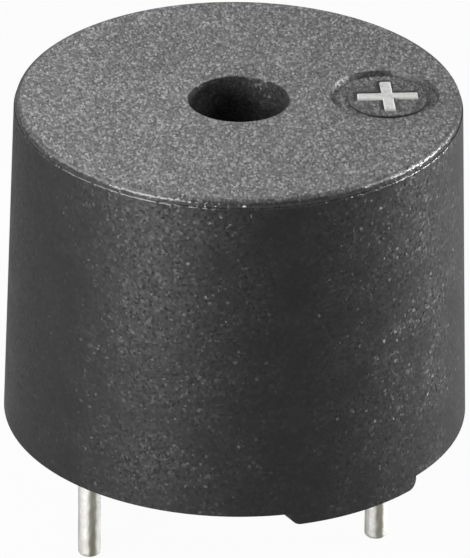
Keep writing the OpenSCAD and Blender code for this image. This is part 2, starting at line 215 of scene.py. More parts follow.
class Graph:
    """Places nodes in one tree and joins their sockets."""

    def __init__(self, tree: Tree) -> None:
        """Works on the given tree."""
        self.tree = tree

    @classmethod
    def empty(cls, owner: Union[Material, bpy.types.World]) -> Graph:
        """Starts an empty tree in a material or world."""
        owner.use_nodes = True
        owner.node_tree.nodes.clear()
        return cls(owner.node_tree)

    def node(self, kind: str, settings: Union[dict, None] = None, **inputs: Value) -> Node:
        """Adds a node.

        Args:
            kind: Blender's name for the node's type.
            settings: Values for the node's own properties.
            inputs: Values or sockets for its inputs, with _ for a space in a name.

        Returns:
            The new node.
        """
        made = self.tree.nodes.new(kind)
        for name, value in (settings or {}).items():
            setattr(made, name, value)
        return self.fill(made, **inputs)

    def fill(self, node: Node, **inputs: Value) -> Node:
        """Feeds a node's inputs by name, with _ for a space, and returns the node."""
        for name, value in inputs.items():
            self.feed(node.inputs[name.replace("_", " ")], value)
        return node

    def feed(self, socket: Socket, value: Value) -> None:
        """Links a socket to an input, or sets the input to a value; a colour gets full alpha."""
        if isinstance(value, Socket):
            self.tree.links.new(value, socket)
        else:
            socket.default_value = (*value, 1.0) if socket.type == "RGBA" else value

    def _apply(self, kind: str, operation: str, values: tuple[Value, ...]) -> Socket:
        """Adds a node with an operation, feeds its inputs in order and returns its first output."""
        made = self.node(kind, {"operation": operation})
        for socket, value in zip(made.inputs, values):
            self.feed(socket, value)
        return made.outputs[0]

    def math(self, operation: str, *values: Value) -> Socket:
        """Adds a Math node and returns its result."""
        return self._apply("ShaderNodeMath", operation, values)

    def vector(self, operation: str, *values: Value) -> Socket:
        """Adds a Vector Math node and returns its vector."""
        return self._apply("ShaderNodeVectorMath", operation, values)

    def times(self, vector: Socket, factor: Value) -> Socket:
        """Adds a Vector Math node that scales a vector and returns its result."""
        settings = {"operation": "SCALE"}
        return self.node("ShaderNodeVectorMath", settings, Vector=vector, Scale=factor).outputs[0]

    def clamp(self, value: Socket) -> Socket:
        """Adds a Clamp node, from 0 to 1, and returns its result."""
        return self.node("ShaderNodeClamp", Value=value).outputs[0]

    def mix(self, kind: Mix, share: Value, first: Value, second: Value) -> Socket:
        """Adds a Mix node and returns its result: the share of the way from the first to the second."""
        data_type, slot, result = kind.value
        made = self.node("ShaderNodeMix", {"data_type": data_type})
        for index, value in zip((0, slot, slot + 1), (share, first, second)):
            self.feed(made.inputs[index], value)
        return made.outputs[result]

    def between(self, share: Value, first: Value, second: Value) -> Socket:
        """Mixes two numbers."""
        return self.mix(Mix.NUMBERS, share, first, second)

    def blend(self, share: Value, first: Value, second: Value) -> Socket:
        """Mixes two colours."""
        return self.mix(Mix.COLOURS, share, first, second)

    def shaders(self, share: Socket, first: Node, second: Node) -> Node:
        """Adds a Mix Shader node for two shaders and returns it."""
        made = self.node("ShaderNodeMixShader", Fac=share)
        for socket, shader in zip(made.inputs[1:], (first, second)):
            self.feed(socket, shader.outputs[0])
        return made

    def ramp(self, value: Value, low: float, high: float, to: Pair = (0.0, 1.0)) -> Socket:
        """Adds a smooth Map Range node from a pair of limits to another and returns its result."""
        limits = {"From_Min": low, "From_Max": high, "To_Min": to[0], "To_Max": to[1]}
        settings = {"interpolation_type": "SMOOTHSTEP"}
        return self.node("ShaderNodeMapRange", settings, Value=value, **limits).outputs[0]

    def attribute(self, name: str) -> Socket:
        """Reads a value that the mesh carries."""
        return self.node("ShaderNodeAttribute", {"attribute_name": name}).outputs["Fac"]

    def bump(self, strength: float, depth: float, height: Socket) -> Socket:
        """Adds a Bump node with a depth in millimetres and returns its normal."""
        made = self.node("ShaderNodeBump", Strength=strength, Distance=depth * MM, Height=height)
        return made.outputs[0]

    def millimetres(self) -> Socket:
        """Object coordinates in millimetres."""
        return self.times(self.node("ShaderNodeTexCoord").outputs["Object"], 1.0 / MM)

    def stretched(self, along_x: Value, along_y: Value, along_z: Value) -> Socket:
        """Object coordinates in millimetres times a factor each; below 1, a pattern is longer that way."""
        factors = self.node("ShaderNodeCombineXYZ", X=along_x, Y=along_y, Z=along_z)
        return self.vector("MULTIPLY", self.millimetres(), factors.outputs[0])


class Effect(Enum):
    """Surface effects that several finishes share, each a node group that is built once."""

    GRAIN = "grain"
    MOTTLE = "mottle"
    STREAKS = "streaks"
    FACETS = "facets"
    # painted shadow round the plus, darkening the disc's colour
    PAINTED_SHADOW = "seam"

    def place(self, graph: Graph, **values: Value) -> Node:
        """Places this effect in a material.

        Args:
            graph: Graph of the material's tree.
            values: Values or sockets for the group's inputs, with _ for a space in a name.

        Returns:
            The group node.
        """
        group = bpy.data.node_groups.get(self.value) or self._make()
        return graph.node("ShaderNodeGroup", {"node_tree": group}, **values)

    def _make(self) -> Tree:
        """Builds the group with its sockets and nodes."""
        makers = {
            Effect.GRAIN: make_grain,
            Effect.MOTTLE: make_mottle,
            Effect.STREAKS: make_streaks,
            Effect.FACETS: make_facets,
            Effect.PAINTED_SHADOW: make_painted_shadow,
        }
        return makers[self](self.value)


def empty_group(
    name: str, inputs: dict[str, float], outputs: tuple[str, ...], vectors: tuple[str, ...] = ()
) -> tuple[Graph, dict[str, Socket], Node]:
    """Makes a node group with its sockets.

    Args:
        name: Name of the group.
        inputs: Names of its inputs with their default values.
        outputs: Names of the outputs that are numbers.
        vectors: Names of the outputs that are vectors.

    Returns:
        The group's graph, its input sockets by name, and its output node.
    """
    tree = bpy.data.node_groups.new(name, "ShaderNodeTree")
    for label, value in inputs.items():
        made = tree.interface.new_socket(label, in_out="INPUT", socket_type="NodeSocketFloat")
        made.default_value = value
    for labels, kind in ((outputs, "NodeSocketFloat"), (vectors, "NodeSocketVector")):
        for label in labels:
            tree.interface.new_socket(label, in_out="OUTPUT", socket_type=kind)
    graph = Graph(tree)
    taken = graph.node("NodeGroupInput")
    given = graph.node("NodeGroupOutput")
    return graph, {label: taken.outputs[label] for label in inputs}, given


def make_grain(name: str) -> Tree:
    """Spark-eroded grain: cells of random tone, few of them pale, under soft blobs.

    The lift is the product of two random numbers of the cell, times 4 and less 1, plus the blobs. The
    shade is a mean tone plus a step times lift and contrast. The height is the blobs less the distance
    to the middle of the cell.
    """
    mean_tone, tone_step, blob_lift, blob_scale = 0.35, 0.22, 2.5, 0.8
    sizes = {"Scale": 12.0, "Contrast": 1.0, "Along Y": 1.0}
    graph, taken, given = empty_group(name, sizes, ("Height", "Shade"))
    place = graph.stretched(1.0, taken["Along Y"], 1.0)
    scale = graph.math("MULTIPLY", taken["Scale"], blob_scale)
    blobs = graph.node("ShaderNodeTexNoise", Vector=place, Scale=scale, Detail=1.5, Roughness=0.6).outputs[0]
    cells = graph.node("ShaderNodeTexVoronoi", Vector=place, Scale=taken["Scale"])
    tones = graph.node("ShaderNodeSeparateColor", Color=cells.outputs["Color"])
    salt = graph.math("MULTIPLY", graph.math("MULTIPLY", tones.outputs[0], tones.outputs[1]), 4.0)
    soft = graph.math("MULTIPLY", graph.math("SUBTRACT", blobs, 0.5), blob_lift)
    lift = graph.math("ADD", graph.math("SUBTRACT", salt, 1.0), soft)
    step = graph.math("MULTIPLY", graph.math("MULTIPLY", lift, taken["Contrast"]), tone_step)
    graph.feed(given.inputs["Shade"], graph.clamp(graph.math("ADD", step, mean_tone)))
    graph.feed(given.inputs["Height"], graph.math("SUBTRACT", blobs, cells.outputs["Distance"]))
    return graph.tree


def seeded_noise(
    graph: Graph, taken: dict[str, Socket], place: Socket, detail: float, **shape: float
) -> Socket:
    """Adds noise at a place, with the group's own scale and seed, and returns its value."""
    settings = {"noise_dimensions": "4D"}
    sizes = {"W": taken["Seed"], "Scale": taken["Scale"], "Detail": detail, **shape}
    return graph.node("ShaderNodeTexNoise", settings, Vector=place, **sizes).outputs[0]


def make_mottle(name: str) -> Tree:
    """Broad uneven patches from a soft noise."""
    graph, taken, given = empty_group(name, {"Scale": 1.0, "Seed": 0.0}, ("Mask",))
    noise = seeded_noise(graph, taken, graph.millimetres(), 4.0, Roughness=0.55)
    graph.feed(given.inputs["Mask"], graph.ramp(noise, 0.32, 0.68))
    return graph.tree


def make_streaks(name: str) -> Tree:
    """Lines along one axis: noise on coordinates that are squeezed along it."""
    sizes = {"Scale": 8.0, "Along X": 1.0, "Along Z": 0.05, "Seed": 0.0}
    graph, taken, given = empty_group(name, sizes, ("Mask",))
    place = graph.stretched(taken["Along X"], 1.0, taken["Along Z"])
    graph.feed(given.inputs["Mask"], graph.ramp(seeded_noise(graph, taken, place, 3.0), 0.3, 0.7))
    return graph.tree


def make_painted_shadow(name: str) -> Tree:
    """Painted shadow round a plus: one on the plus and at its outline, falling to zero at the reach.

    A bar's distance is the larger of the two by which a point lies past its half length and past its
    half width, and the plus takes the smaller one of its two bars.
    """
    bar = {"Half Length": 0.8, "Half Width": 0.14}
    sizes = {"Centre X": 0.0, "Centre Y": 0.0, "Turn": 0.0, **bar, "Reach": 0.1}
    graph, taken, given = empty_group(name, sizes, ("Mask",))
    centre = graph.node("ShaderNodeCombineXYZ", X=taken["Centre X"], Y=taken["Centre Y"])
    away = graph.vector("SUBTRACT", graph.millimetres(), centre.outputs[0])
    settings = {"rotation_type": "Z_AXIS"}
    level = graph.node("ShaderNodeVectorRotate", settings, Vector=away, Angle=taken["Turn"])
    sides = graph.node("ShaderNodeSeparateXYZ", Vector=graph.vector("ABSOLUTE", level.outputs[0]))
    bars = []
    for along, across in (tuple(bar), tuple(bar)[::-1]):
        past_end = graph.math("SUBTRACT", sides.outputs[0], taken[along])
        past_side = graph.math("SUBTRACT", sides.outputs[1], taken[across])
        bars.append(graph.math("MAXIMUM", past_end, past_side))
    far = graph.math("DIVIDE", graph.math("MINIMUM", *bars), taken["Reach"])
    graph.feed(given.inputs["Mask"], graph.clamp(graph.math("SUBTRACT", 1.0, far)))
    return graph.tree


def make_facets(name: str) -> Tree:
    """Small facets that glint: each cell tilts at random, most of them little and a few far.

    The tilt is a random vector, from -1 to 1 along each axis, times the square of its length and the
    given tilt.
    """
    graph, taken, given = empty_group(name, {"Scale": 20.0, "Tilt": 0.1, "Along Y": 1.0}, (), ("Tilt",))
    place = graph.stretched(1.0, taken["Along Y"], 1.0)
    cells = graph.node("ShaderNodeTexVoronoi", Vector=place, Scale=taken["Scale"])
    spread = graph.node("ShaderNodeTexWhiteNoise", Vector=cells.outputs["Position"])
    way = graph.vector("MULTIPLY_ADD", spread.outputs["Color"], (2.0, 2.0, 2.0), (-1.0, -1.0, -1.0))
    square = graph.node("ShaderNodeVectorMath", {"operation": "DOT_PRODUCT"})
    for socket in square.inputs[:2]:
        graph.feed(socket, way)
    amount = graph.math("MULTIPLY", square.outputs["Value"], taken["Tilt"])
    graph.feed(given.inputs["Tilt"], graph.times(way, amount))
    return graph.tree


def new_material(name: str) -> tuple[Material, Graph, Node]:
    """Makes a material with one Principled shader and returns it with its graph and that node."""
    made = bpy.data.materials.new(name)
    graph = Graph.empty(made)
    shader = graph.node("ShaderNodeBsdfPrincipled")
    graph.node("ShaderNodeOutputMaterial", Surface=shader.outputs[0])
    return made, graph, shader


@dataclass(frozen=True)
class CasePlastic:
    """Black moulded plastic: satin on the wall, rubbed at the edges and grained on the top.

    The mesh's finish attribute tells the three apart.
    """

    wall: Colour = (0.0045, 0.0045, 0.0051)
    wall_pale: Colour = (0.0085, 0.0085, 0.0096)
    wall_roughness: float = 0.43
    patch_roughness: float = 0.52
    patch_scale: float = 0.9
    satin_scale: float = 9.0
    satin_contrast: float = 0.9
    satin_relief: float = 0.08
    least_specular: float = 0.46
    most_specular: float = 0.62
    facet_scale: float = 15.0
    least_tilt: float = 0.04
    most_tilt: float = 0.13
    edge_paleness: float = 0.1
    edge_roughness: float = 0.3
    edge_specular: float = 0.7
    edge_tilt: float = 1.6
    top_dark: Colour = (0.045, 0.045, 0.0453)
    top_pale: Colour = (0.38, 0.38, 0.383)
    top_patches: Pair = (0.93, 1.07)
    top_roughness: float = 0.78
    top_specular: float = 0.25
    top_scale: float = 20.0
    top_contrast: float = 0.92
    top_stretch: float = 0.56
    top_tilt: float = 0.13
    relief: float = 0.03
    relief_strength: float = 0.5
    # painted shadow round the plus: how far it reaches, how dark it is, and its shift behind and left of the
    # plus
    shadow_reach: float = 0.11
    shadow_darkness: float = 0.95
    seam_shift: Pair = (-0.035, 0.17)

    def shares(self, graph: Graph) -> tuple[Socket, Socket]:
        """Shares of the grained top and of the rubbed edge, from the finish attribute."""
        past = graph.math("SUBTRACT", graph.attribute("finish"), RUBBED)
        away = graph.math("ABSOLUTE", past)
        return graph.clamp(past), graph.clamp(graph.math("SUBTRACT", 1.0, away))

    def seam(self, graph: Graph, mark: PlusMark) -> Socket:
        """Brightness of the disc, which falls in a painted shadow behind and left of the plus.

        Args:
            graph: Graph of the material's tree.
            mark: The plus.

        Returns:
            Socket of the factor.
        """
        placed = Effect.PAINTED_SHADOW.place(
            graph,
            Centre_X=mark.centre[0] + self.seam_shift[0],
            Centre_Y=mark.centre[1] + self.seam_shift[1],
            Turn=-math.radians(mark.turn),
            Half_Length=mark.bar_length / 2,
            Half_Width=mark.bar_width / 2,
            Reach=self.shadow_reach,
        )
        return graph.between(placed.outputs["Mask"], 1.0, 1.0 - self.shadow_darkness)

    def colour(self, graph: Graph, pale: Socket, patches: Socket, satin: Socket, grain: Socket) -> Socket:
        """Mixes the wall's faint patches and the top's grain.

        Args:
            graph: Graph of the material's tree.
            pale: Share of the top's colour.
            patches: Mask of broad patches.
            satin: Shade of the wall's grain.
            grain: Shade of the top's grain.

        Returns:
            Socket of the colour.
        """
        wall_share = graph.math("MULTIPLY", graph.math("ADD", patches, satin), 0.5)
        wall = graph.blend(wall_share, self.wall, self.wall_pale)
        top_share = graph.math("MULTIPLY", grain, graph.ramp(patches, 0.0, 1.0, self.top_patches))
        return graph.blend(pale, wall, graph.blend(top_share, self.top_dark, self.top_pale))

    def normal(self, graph: Graph, rubbed: Socket, height: Socket, tilt: Socket) -> Socket:
        """Adds the facets' tilt, which is larger on a rubbed edge, to the relief of the grain.

        Args:
            graph: Graph of the material's tree.
            rubbed: Share of the rubbed edge.
            height: Height of the grain.
            tilt: Tilt of the facets.

        Returns:
            Socket of the normal.
        """
        lively = graph.times(tilt, graph.between(rubbed, 1.0, self.edge_tilt))
        relief = graph.bump(self.relief_strength, self.relief, height)
        return graph.vector("NORMALIZE", graph.vector("ADD", relief, lively))

    def material(self, mark: PlusMark) -> Material:
        """Builds the material.

        Args:
            mark: The plus, round which a painted shadow darkens the disc.

        Returns:
            Material for the case.
        """
        made, graph, shader = new_material("case_plastic")
        top, rubbed = self.shares(graph)
        pale = graph.math("ADD", top, graph.math("MULTIPLY", rubbed, self.edge_paleness))
        stretch = {"Scale": self.top_scale, "Along_Y": self.top_stretch}
        grain = Effect.GRAIN.place(graph, Contrast=self.top_contrast, **stretch)
        satin = Effect.GRAIN.place(graph, Scale=self.satin_scale, Contrast=self.satin_contrast)
        patches = Effect.MOTTLE.place(graph, Scale=self.patch_scale).outputs["Mask"]
        wall_tilt = graph.between(patches, self.least_tilt, self.most_tilt)
        fine = Effect.FACETS.place(graph, Scale=self.facet_scale, Tilt=wall_tilt)
        coarse = Effect.FACETS.place(graph, Tilt=self.top_tilt, **stretch)
        # the top's grain is darkened by the painted shadow round the plus
        shade = graph.math("MULTIPLY", grain.outputs["Shade"], self.seam(graph, mark))
        rough = graph.between(patches, self.wall_roughness, self.patch_roughness)
        rough = graph.between(rubbed, rough, self.edge_roughness)
        shine = graph.between(satin.outputs["Shade"], self.least_specular, self.most_specular)
        shine = graph.between(rubbed, shine, self.edge_specular)
        low = graph.math("MULTIPLY", satin.outputs["Height"], self.satin_relief)
        height = graph.between(top, low, grain.outputs["Height"])
        tilt = graph.mix(Mix.VECTORS, top, fine.outputs["Tilt"], coarse.outputs["Tilt"])
        graph.fill(
            shader,
            Base_Color=self.colour(graph, pale, patches, satin.outputs["Shade"], shade),
            Roughness=graph.between(top, rough, self.top_roughness),
            Specular_IOR_Level=graph.between(top, shine, self.top_specular),
            Normal=self.normal(graph, rubbed, height, tilt),
        )
        return made


@dataclass(frozen=True)
class MarkPaint:
    """Pale marking paint with faint dirt in it."""

    pale: Colour = (0.6, 0.6, 0.587)
    dull: Colour = (0.42, 0.42, 0.41)
    roughness: float = 0.6
    relief: float = 0.01
    relief_strength: float = 0.4

    def material(self) -> Material:
        """Builds the material for the plus."""
        made, graph, shader = new_material("mark_paint")
        grain = Effect.GRAIN.place(graph, Scale=11.0, Contrast=2.0)
        patches = Effect.MOTTLE.place(graph, Scale=5.0, Seed=2.0)
        share = graph.math("MULTIPLY", grain.outputs["Shade"], patches.outputs[0])
        graph.fill(
            shader,
            Base_Color=graph.blend(share, self.pale, self.dull),
            Roughness=self.roughness,
            Normal=graph.bump(self.relief_strength, self.relief, grain.outputs["Height"]),
        )
        return made


@dataclass(frozen=True)
class TinnedWire:
    """Solder-dipped pin: bright tin, faint streaks along it, and dull upright streaks where the run attribute
    is 1, one of which is a painted dark reflection.
    """

    bright: Colour = (0.96, 0.95, 0.91)
    streak: Colour = (0.78, 0.77, 0.72)
    # colour of the dull streaks, one of which is a painted dark reflection
    dull: Colour = (0.36, 0.345, 0.28)
    grazing: Colour = (0.3, 0.29, 0.26)
    roughness: Pair = (0.48, 0.6)
    run_strength: Pair = (0.7, 1.0)
    relief: float = 0.02
    relief_strength: float = 0.3

    def material(self) -> Material:
        """Builds the material for the pins."""
        made, graph, shader = new_material("tinned_wire")
        streaks = Effect.STREAKS.place(graph, Scale=7.0, Along_Z=0.15).outputs["Mask"]
        patches = Effect.MOTTLE.place(graph, Scale=4.0, Seed=5.0).outputs["Mask"]
        # the run attribute carries dull streaks and a painted dark reflection
        dull_and_reflection = graph.ramp(streaks, 0.0, 1.0, self.run_strength)
        dull_and_reflection = graph.math("MULTIPLY", graph.attribute("run"), dull_and_reflection)
        tin = graph.blend(graph.math("MULTIPLY", streaks, patches), self.bright, self.streak)
        graph.fill(
            shader,
            Base_Color=graph.blend(dull_and_reflection, tin, self.dull),
            Metallic=1.0,
            Roughness=graph.ramp(streaks, 0.0, 1.0, self.roughness),
            Specular_Tint=self.grazing,
            Normal=graph.bump(self.relief_strength, self.relief, patches),
        )
        return made


@dataclass(frozen=True)
class PartFinish:
    """Finish of a piece inside: two tones in patches, fine grain and, where wanted, lines along an axis."""

    name: str
    base: Colour
    second: Colour
    roughness: float
    metallic: float = 0.0
    patch_scale: float = 1.2
    grain_scale: float = 18.0
    grain_depth: float = 0.008
    grain_contrast: float = 1.4
    relief_strength: float = 0.5
    roughness_spread: float = 0.06
    streak_scale: float = 0.0
    along_x: float = 1.0
    along_z: float = 0.05

    def material(self) -> Material:
        """Builds the material with this finish."""
        made, graph, shader = new_material(self.name)
        grain = Effect.GRAIN.place(graph, Scale=self.grain_scale, Contrast=self.grain_contrast)
        patches = Effect.MOTTLE.place(graph, Scale=self.patch_scale, Seed=float(len(self.name)))
        tones = graph.math("ADD", patches.outputs[0], grain.outputs["Shade"])
        share = graph.math("MULTIPLY", tones, 0.5)
        height = grain.outputs["Height"]
        if self.streak_scale:
            stretch = {"Along_X": self.along_x, "Along_Z": self.along_z}
            lines = Effect.STREAKS.place(graph, Scale=self.streak_scale, **stretch).outputs[0]
            share = graph.math("MULTIPLY", graph.math("ADD", share, lines), 0.5)
            height = graph.math("ADD", height, lines)
        limits = (self.roughness - self.roughness_spread, self.roughness + self.roughness_spread)
        graph.fill(
            shader,
            Base_Color=graph.blend(share, self.base, self.second),
            Metallic=self.metallic,
            Roughness=graph.ramp(share, 0.0, 1.0, limits),
            Normal=graph.bump(self.relief_strength, self.grain_depth, height),
        )
        return made


RESIN = PartFinish(
    "poured_resin",
    (0.012, 0.012, 0.0125),
    (0.02, 0.02, 0.021),
    0.22,
    patch_scale=0.7,
    grain_scale=2.0,
    grain_depth=0.02,
)
STEEL_LINES = {"streak_scale": 14.0, "along_x": 0.05, "along_z": 1.0}
WIRE_LINES = {"streak_scale": 9.0, "along_x": 0.02, "along_z": 1.0}
WEAVE_LINES = {"streak_scale": 6.0, "along_x": 0.1}
INNER_FINISHES: tuple[tuple[PartFinish, tuple[str, ...]], ...] = (
    (RESIN, ("sealing_resin",)),
    (
        PartFinish("spring_steel", (0.52, 0.53, 0.54), (0.4, 0.41, 0.42), 0.3, 1.0, **STEEL_LINES),
        ("diaphragm", "vibrating_mass"),
    ),
    (PartFinish("ring_plastic", (0.03, 0.03, 0.032), (0.05, 0.05, 0.052), 0.5), ("support_ring",)),
    (
        PartFinish(
            "ferrite", (0.05, 0.047, 0.044), (0.09, 0.085, 0.08), 0.6, patch_scale=3.0, grain_depth=0.015
        ),
        ("ring_magnet",),
    ),
    (
        PartFinish("enamelled_copper", (0.5, 0.17, 0.06), (0.33, 0.1, 0.035), 0.32, 0.9, **WIRE_LINES),
        ("drive_winding", "feedback_winding"),
    ),
    (
        PartFinish("soft_iron", (0.4, 0.41, 0.42), (0.3, 0.31, 0.32), 0.36, 1.0, streak_scale=10.0),
        ("pole_core", "yoke_plate"),
    ),
    (
        PartFinish("board_laminate", (0.05, 0.14, 0.06), (0.08, 0.19, 0.09), 0.45, **WEAVE_LINES),
        ("driver_board",),
    ),
    (PartFinish("copper_foil", (0.62, 0.26, 0.12), (0.48, 0.18, 0.08), 0.35, 1.0), ("board_copper",)),
    (
        PartFinish("chip_moulding", (0.022, 0.022, 0.022), (0.038, 0.038, 0.038), 0.55),
        ("transistor_body",),
    ),
    (PartFinish("chip_ceramic", (0.62, 0.57, 0.46), (0.5, 0.46, 0.37), 0.5), ("resistor_body",)),
    (
        PartFinish("solder_tin", (0.66, 0.65, 0.61), (0.45, 0.44, 0.41), 0.3, 1.0, patch_scale=3.5),
        ("transistor_legs", "resistor_caps", "solder_joints"),
    ),
)


def hand_over(piece: Piece, material: Material, slot: str, *nodes: str) -> None:
    """Gives a new piece its finish, its body and the solids that it stands for.

    Args:
        piece: The new piece.
        material: Its material.
        slot: Not used.
        nodes: Names of the solids that it replaces.
    """
    piece.data.materials.append(material)
    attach(piece, BODY)
    if nodes:
        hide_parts(*nodes)
    LOG.info("%s: %d faces", piece.name, len(piece.data.polygons))


@dataclass
class Case:
    """The moulded case with its sound hole, mark recess, witness step, open rim and feet.

    The grid lines run up the wall, over the top edge and across the top to the sound hole, so that one
    set of angles, counted from the mark, serves nearly every surface.
    """

    top_level: float
    rim_radius: float = 6.0
    rim_level: float = 0.325
    draft: float = 1.77
    turn: float = -4.0
    edge_round: float = 0.14
    edge_band: float = 0.2
    edge_step: float = 0.035
    soft_edge: float = 0.015
    edge_fade: tuple[Pair, ...] = ((20.0, RUBBED), (75.0, 1.45), (90.0, GRAINED))
    wall_strips: int = 12
    step_lead: float = 1.2
    bore_radius: float = 5.3
    ledge_width: float = 0.4
    chamber_height: float = 1.7
    roof: float = 1.0
    hole_radius: float = 1.3
    hole_round: float = 0.05
    neck_wall: float = 0.6
    neck_drop: float = 0.5
    # rubbed finish of the sound hole's wall; its paler colour is partly painted light that lightens the deep
    # hole
    hole_finish_and_painted_light: float = 1.1
    recess_radius: float = 1.4
    recess_depth: float = 0.16
    recess_lean: float = 0.05
    recess_margin: float = 0.42
    disc_radius: float = 1.025
    disc_height: float = 0.08
    disc_round: float = 0.05
    disc_shift: float = 0.08
    disc_finish: float = 1.75
    recess_finish: float = 1.2
    foot_width: float = 3.8
    foot_round: float = 0.25
    foot_angles: tuple[float, ...] = (-62.0, 118.0)
    divide: float = 1.9
    gap_columns: int = 150
    top_strips: int = 8

    @property
    def flat_radius(self) -> float:
        """Radius at which the top face meets its rounded edge."""
        band_level = self.top_level - self.edge_band
        return self.wall_radius(band_level) - self.edge_step - self.edge_round

    @property
    def mark_x(self) -> float:
        """Distance of the mark from the axis."""
        return self.flat_radius - self.recess_margin - self.recess_radius

    def wall_radius(self, level: Number) -> Number:
        """Outside radius of the drafted wall at a level."""
        return self.rim_radius - (level - self.rim_level) * math.tan(math.radians(self.draft))

    def foot_path(self) -> tuple[Array, Array]:
        """Lower outline of a foot: flat on the seat, with a quarter circle up to each side.

        Returns:
            Places along the foot's width, and the level at each.
        """
        corner = self.foot_width / 2 - self.foot_round
        rise = arc((corner, self.foot_round), self.foot_round, -90.0, 0.0, steps=8)
        flat = np.linspace(-corner, corner, 25)[1:-1]
        along = np.concatenate([-rise[::-1, 0], flat, rise[:, 0]])
        level = np.concatenate([rise[::-1, 1], np.zeros_like(flat), rise[:, 1]])
        return along, level

    def foot_ring(self, radius: Number, foot: float) -> Array:
        """Angles of a foot's grid lines: its own angle plus the arcsine of place over radius."""
        along, _ = self.foot_path()
        return math.radians(foot) + np.arcsin(along / radius)

    def gap_ring(self, radius: float, foot: float) -> Array:
        """Evenly spaced angles from one foot's far side to the next foot's near side."""
        half = math.asin(self.foot_width / 2 / radius)
        spacing = 2 * math.pi / len(self.foot_angles)
        start = math.radians(foot) + half
        return np.linspace(start, start + spacing - 2 * half, self.gap_columns)

    def columns(self, radius: float) -> Array:
        """Angles of all grid lines at a radius, once round and each only once."""
        feet = self.foot_angles
        rings = [(self.foot_ring(radius, foot)[1:-1], self.gap_ring(radius, foot)) for foot in feet]
        return np.concatenate([part for pair in rings for part in pair])

    def outside(self) -> tuple[Array, Array]:
        """Profile of the outside from the rim to the edge of the top face, with the finish at each point."""
        band_level = self.top_level - self.edge_band
        step_level = band_level - self.edge_step
        lead_level = band_level - self.step_lead * self.edge_step
        wall_levels = np.append(np.linspace(self.rim_level, lead_level, self.wall_strips + 1), step_level)
        wall = np.column_stack([self.wall_radius(wall_levels), wall_levels])
        band_radius = self.wall_radius(band_level) - self.edge_step
        step = arc((band_radius, step_level), self.edge_step, 0.0, 90.0, steps=6)[1:]
        band = np.array([[band_radius, self.top_level - self.edge_round - self.soft_edge]])
        rounding_centre = (self.flat_radius, self.top_level - self.edge_round)
        rounding = arc(rounding_centre, self.edge_round, 0.0, 90.0, steps=12)
        profile = np.concatenate([wall, step, band, rounding])
        finish = np.full(len(profile), RUBBED)
        finish[: len(wall) - 1] = SATIN
        roll = np.linspace(0.0, 90.0, len(rounding))
        finish[-len(rounding) :] = np.interp(roll, *zip(*self.edge_fade))
        return profile, finish

    def inside(self) -> tuple[Array, Array]:
        """Profile of the inside from the top of the sound hole to the rim, with the finish at each point."""
        roof_level = self.top_level - self.roof
        neck_level = roof_level - self.neck_drop
        neck_radius = self.hole_radius + self.neck_wall
        chamber_radius = self.bore_radius - self.ledge_width
        ledge_level = roof_level - self.chamber_height
        edge_centre = (self.hole_radius + self.hole_round, self.top_level - self.hole_round)
        edge = arc(edge_centre, self.hole_round, 90.0, 180.0, steps=6)
        room = np.array(
            [
                [self.hole_radius, neck_level],
                [neck_radius, neck_level],
                [neck_radius, roof_level],
                [chamber_radius, roof_level],
                [chamber_radius, ledge_level],
                [self.bore_radius, ledge_level],
                [self.bore_radius, self.rim_level],
            ]
        )
        finish = np.full(len(edge) + len(room), SATIN)
        # the hole's wall is rubbed and paler, partly as painted light in the deep hole
        finish[: len(edge)] = np.linspace(GRAINED, self.hole_finish_and_painted_light, len(edge))
        finish[len(edge)] = self.hole_finish_and_painted_light
        return np.concatenate([edge, room]), finish

    def rim_path(self, bore: bool) -> Array:
        """One edge of the rim's underside: round each foot's outline, then level to the next foot.

        Args:
            bore: Whether this is the edge at the bore; otherwise it is the one at the wall.

        Returns:
            Points once round.
        """
        _, level = self.foot_path()
        foot_radius = np.full_like(level, self.bore_radius) if bore else self.wall_radius(level)
        rim_radius = self.bore_radius if bore else self.rim_radius
        gap_radius = np.full(self.gap_columns, rim_radius)
        gap_level = np.full(self.gap_columns, self.rim_level)
        feet = self.foot_angles
        turns = [(self.foot_ring(foot_radius, foot), self.gap_ring(rim_radius, foot)) for foot in feet]
        angle = np.concatenate([part for pair in turns for part in pair])
        radius = np.concatenate([foot_radius, gap_radius] * len(turns))
        height = np.concatenate([level, gap_level] * len(turns))
        return around(radius, height, angle)

    def foot_face(self, foot: float, bore: bool) -> Array:
        """Outer face of a foot, or its face at the bore, in lines from its lower outline up to the rim."""
        _, low = self.foot_path()
        level = np.stack([low, np.full_like(low, self.rim_level)])
        radius = np.full_like(level, self.bore_radius) if bore else self.wall_radius(level)
        return around(radius, level, self.foot_ring(radius, foot))

    def top_face(self) -> tuple[Array, Array]:
        """The flat top in two halves, parted by a chord between sound hole and mark.

        Each half is ruled from its own hole to its outline: from the sound hole along the grid lines to
        the edge or the chord, and from the recess outwards to the chord and the rest of the edge.

        Returns:
            The half round the sound hole and the half round the mark.
        """
        angles = self.columns(self.rim_radius)
        spokes = np.column_stack([np.cos(angles), np.sin(angles), np.zeros_like(angles)])
        lift = np.array([0.0, 0.0, self.top_level])
        edge = self.flat_radius * spokes + lift
        past = np.flatnonzero(edge[:, 0] > self.divide)
        first, last = edge[past[0] - 1], edge[past[-1] + 1]
        reach = cross(first, last - first) / cross(spokes[past], last - first)
        outline = edge.copy()
        outline[past, :2] = spokes[past, :2] * reach[:, None]
        hole = (self.hole_radius + self.hole_round) * spokes + lift
        loop = np.concatenate([outline[past[0] - 1 : past[-1] + 2], edge[past[::-1]]])
        centre = np.array([self.mark_x, 0.0, self.top_level])
        away = loop - centre
        away /= np.linalg.norm(away, axis=1, keepdims=True)
        recess = centre + (self.recess_radius + self.soft_edge) * away
        return ruled(hole, outline, self.top_strips), ruled(recess, loop, self.top_strips)

